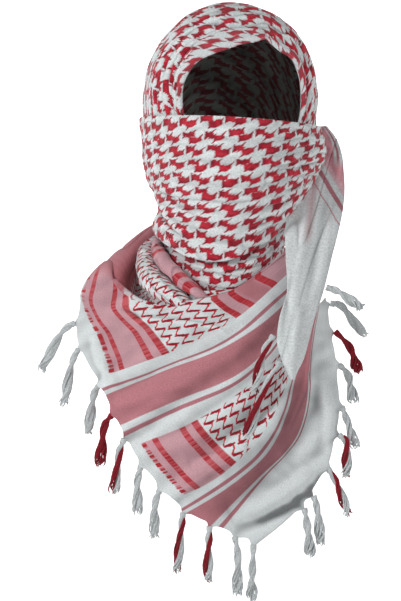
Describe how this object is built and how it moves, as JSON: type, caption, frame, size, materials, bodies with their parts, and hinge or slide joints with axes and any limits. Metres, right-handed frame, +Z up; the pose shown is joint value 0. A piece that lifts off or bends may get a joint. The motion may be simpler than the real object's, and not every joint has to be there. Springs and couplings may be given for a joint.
{
  "type": "keffiyeh headscarf",
  "caption": "Cotton scarf wound round the head, face and neck, with a fringed drape on the chest and a hanging tail.",
  "frame": {"origin": "the point inside the crown where the wearer's head carries the hood", "axes": "+Z up, the face looks along -Y, and the wearer's left hand is at +X"},
  "size_m": [0.333, 0.2577, 0.5948],
  "materials": {
    "houndstooth": "matte woven cotton, red broken check on white",
    "net_weave": "matte woven cotton, red zigzag net on white",
    "border": "matte woven cotton, pink bands and red stripes on white",
    "white_fringe": "matte cotton yarn",
    "red_fringe": "matte cotton yarn"
  },
  "bodies": {
    "root": {"hood": "houndstooth", "brow_fold": "houndstooth", "temple_fold": "houndstooth", "face_wrap": "houndstooth", "neck_wrap": "houndstooth", "neck_loop": "houndstooth", "nape_shawl": "border", "collar_bed": "border", "collar_net": "net_weave", "collar_pink": "border", "shoulder_fold": "border", "chest_drape": "border", "side_tail": "border", "tassel_01": "white_fringe", "tassel_02": "white_fringe", "tassel_03": "white_fringe", "tassel_04": "red_fringe", "tassel_05": "white_fringe", "tassel_06": "white_fringe", "tassel_07": "white_fringe", "tassel_08": "white_fringe", "tassel_09": "white_fringe", "tassel_10": "white_fringe", "tassel_11": "white_fringe", "tassel_12": "white_fringe", "tassel_13": "white_fringe", "tassel_14": "white_fringe", "tassel_15": "white_fringe", "tassel_16": "white_fringe", "tassel_17": "white_fringe", "tassel_18": "red_fringe", "tassel_19": "white_fringe", "tassel_20": "white_fringe", "tassel_21": "white_fringe", "tassel_22": "white_fringe"}
  },
  "joints": []
}
